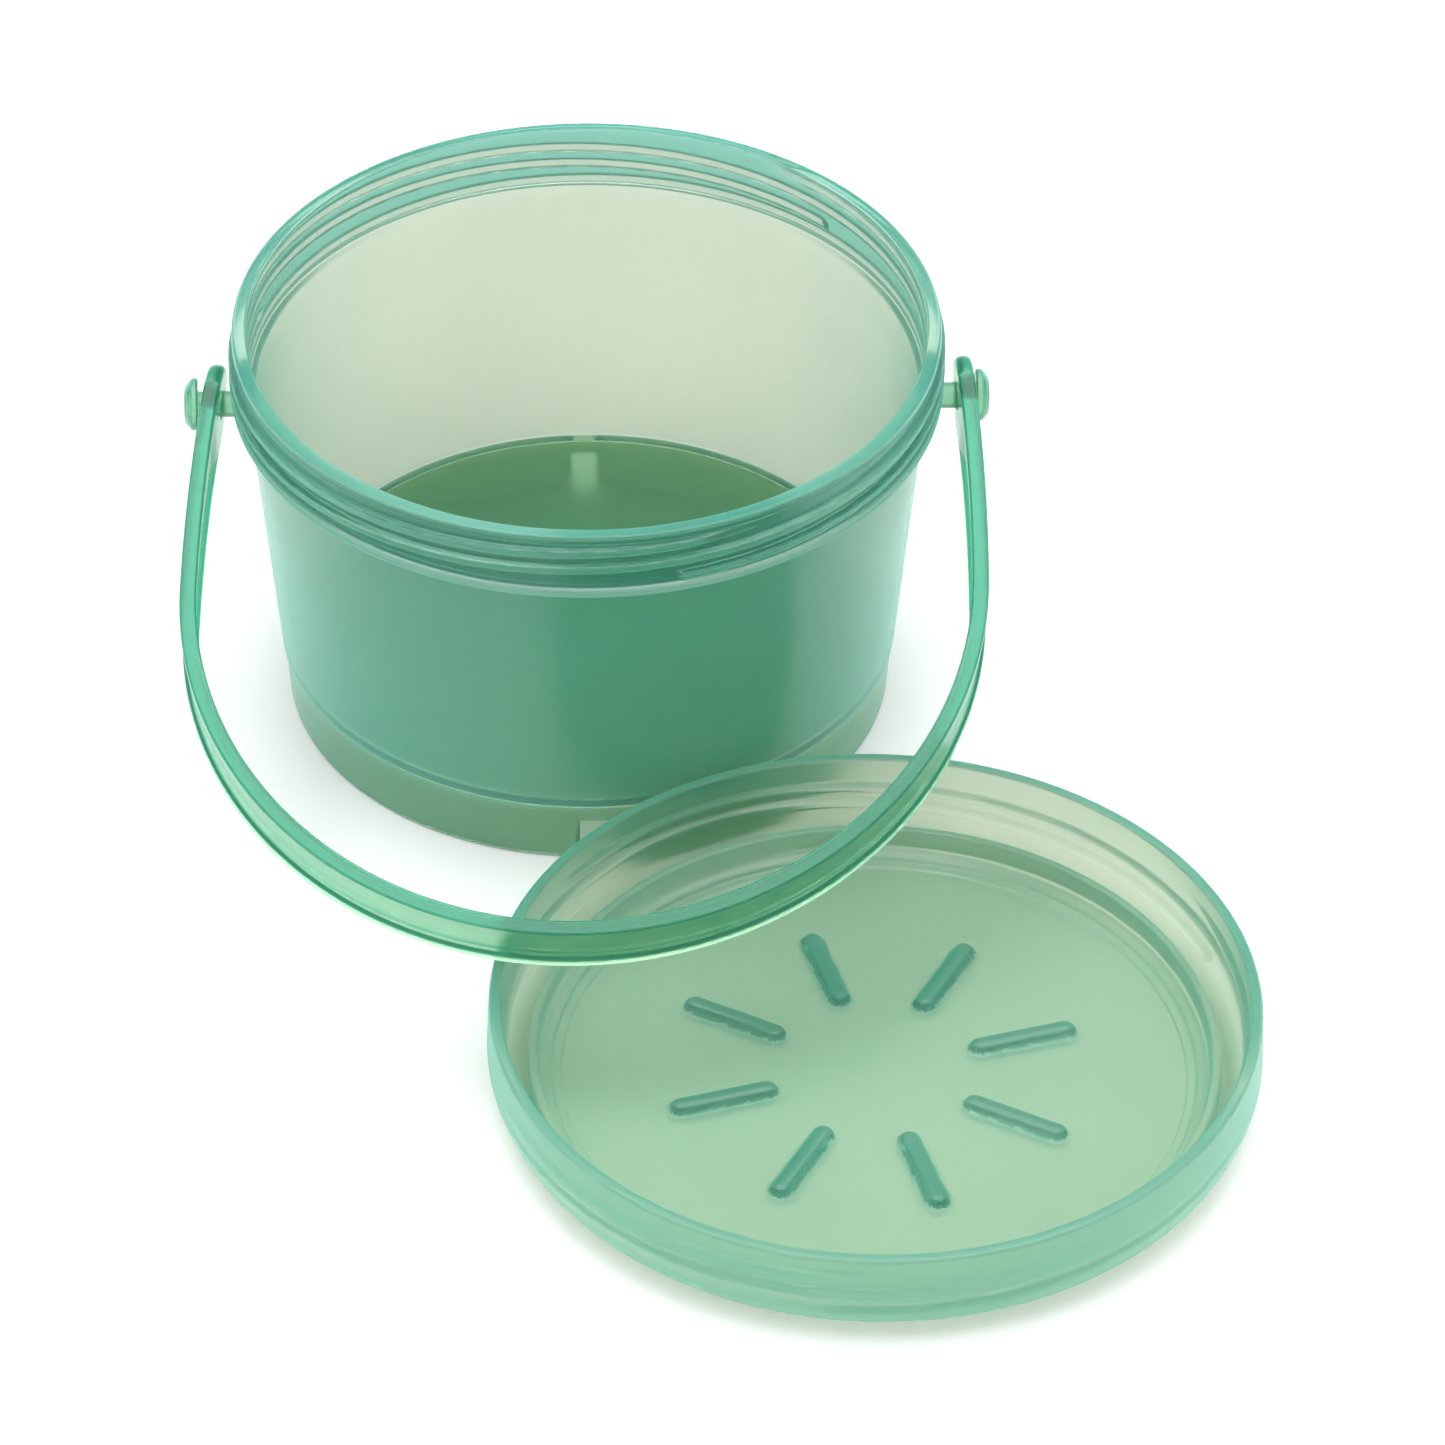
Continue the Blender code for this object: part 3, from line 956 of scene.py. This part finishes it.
def soft_light(name, place, target, size, power):
    """A rectangular light that faces a point."""
    light = bpy.data.lights.new(name, "AREA")
    light.shape = "RECTANGLE"
    light.size, light.size_y = size
    light.energy = power
    obj = bpy.data.objects.new(name, light)
    bpy.context.scene.collection.objects.link(obj)
    obj.location = place
    aim = Vector(target) - Vector(place)
    obj.rotation_euler = aim.to_track_quat("-Z", "Y").to_euler()
    return obj


def camera_axes(yaw, pitch, roll):
    """Right, up and forward directions of a camera."""
    forward = Vector(
        (math.sin(yaw) * math.cos(pitch), math.cos(yaw) * math.cos(pitch), -math.sin(pitch))
    )
    right = Vector((math.cos(yaw), -math.sin(yaw), 0.0))
    up = right.cross(forward)
    return (
        right * math.cos(roll) + up * math.sin(roll),
        up * math.cos(roll) - right * math.sin(roll),
        forward,
    )


class JAR_OT_stage(bpy.types.Operator):
    """Builds the floor, the soft lights and the camera"""

    bl_idname = "jar.stage"
    bl_label = "Stage"

    def execute(self, context):
        studio = context.scene.studio_settings
        shape = bmesh.new()
        bmesh.ops.create_grid(shape, x_segments=1, y_segments=1, size=STAGE_HALF)
        mesh = bpy.data.meshes.new("floor")
        shape.to_mesh(mesh)
        shape.free()
        floor = bpy.data.objects.new("floor", mesh)
        context.scene.collection.objects.link(floor)
        floor.location.z = -STAGE_GAP
        material = bpy.data.materials.new("Pale Floor")
        material.use_nodes = True
        shader = material.node_tree.nodes["Principled BSDF"]
        shader.inputs["Base Color"].default_value = (*studio.floor, 1.0)
        shader.inputs["Roughness"].default_value = 0.9
        shader.inputs["Specular IOR Level"].default_value = 0.1
        shader.inputs["Emission Color"].default_value = (1.0, 1.0, 1.0, 1.0)
        shader.inputs["Emission Strength"].default_value = STAGE_GLOW
        mesh.materials.append(material)

        world = bpy.data.worlds.new("Soft Sky")
        world.use_nodes = True
        sky = world.node_tree.nodes["Background"]
        sky.inputs["Color"].default_value = (1.0, 1.0, 1.0, 1.0)
        sky.inputs["Strength"].default_value = studio.sky
        context.scene.world = world
        soft_light("overhead", OVERHEAD_PLACE, STAGE_MIDDLE, OVERHEAD_SIZE, studio.key)

        right, up, forward = camera_axes(
            math.radians(CAMERA_YAW), math.radians(CAMERA_PITCH), math.radians(CAMERA_ROLL)
        )
        data = bpy.data.cameras.new("camera")
        data.sensor_width = CAMERA_SENSOR
        data.lens = CAMERA_LENS
        data.clip_start = 0.05
        data.clip_end = 50.0
        camera = bpy.data.objects.new("camera", data)
        context.scene.collection.objects.link(camera)
        turn = Matrix((right, up, -forward)).transposed().to_4x4()
        place = JAR_CENTRE + Vector(CAMERA_FROM_JAR) * MM
        camera.matrix_world = Matrix.Translation(place) @ turn
        context.scene.camera = camera
        context.scene.view_settings.view_transform = "Standard"
        return {"FINISHED"}


class JAR_PT_panel(bpy.types.Panel):
    """Sidebar with each piece's settings and a button that builds it"""

    bl_idname = "JAR_PT_panel"
    bl_label = "Jar"
    bl_space_type = "VIEW_3D"
    bl_region_type = "UI"
    bl_category = "Jar"

    def draw(self, context):
        for name, operator in (
            ("jar_settings", "jar.body"),
            ("handle_settings", "jar.handle"),
            ("lid_settings", "jar.lid"),
            ("studio_settings", "jar.stage"),
        ):
            box = self.layout.box()
            settings = getattr(context.scene, name)
            for key in settings.bl_rna.properties.keys():
                if key not in ("rna_type", "name"):
                    box.prop(settings, key)
            box.operator(operator)


SETTINGS = {
    "jar_settings": JarSettings,
    "handle_settings": HandleSettings,
    "lid_settings": LidSettings,
    "studio_settings": StudioSettings,
}
CLASSES = (
    *SETTINGS.values(),
    JAR_OT_body,
    JAR_OT_handle,
    JAR_OT_lid,
    JAR_OT_stage,
    JAR_PT_panel,
)


def register():
    for cls in CLASSES:
        bpy.utils.register_class(cls)
    for name, group in SETTINGS.items():
        setattr(bpy.types.Scene, name, PointerProperty(type=group))


def unregister():
    for name in SETTINGS:
        delattr(bpy.types.Scene, name)
    for cls in reversed(CLASSES):
        bpy.utils.unregister_class(cls)


def main():
    register()
    bpy.ops.jar.body()
    bpy.ops.jar.handle()
    bpy.ops.jar.lid()
    bpy.ops.jar.stage()


if __name__ == "__main__":
    main()
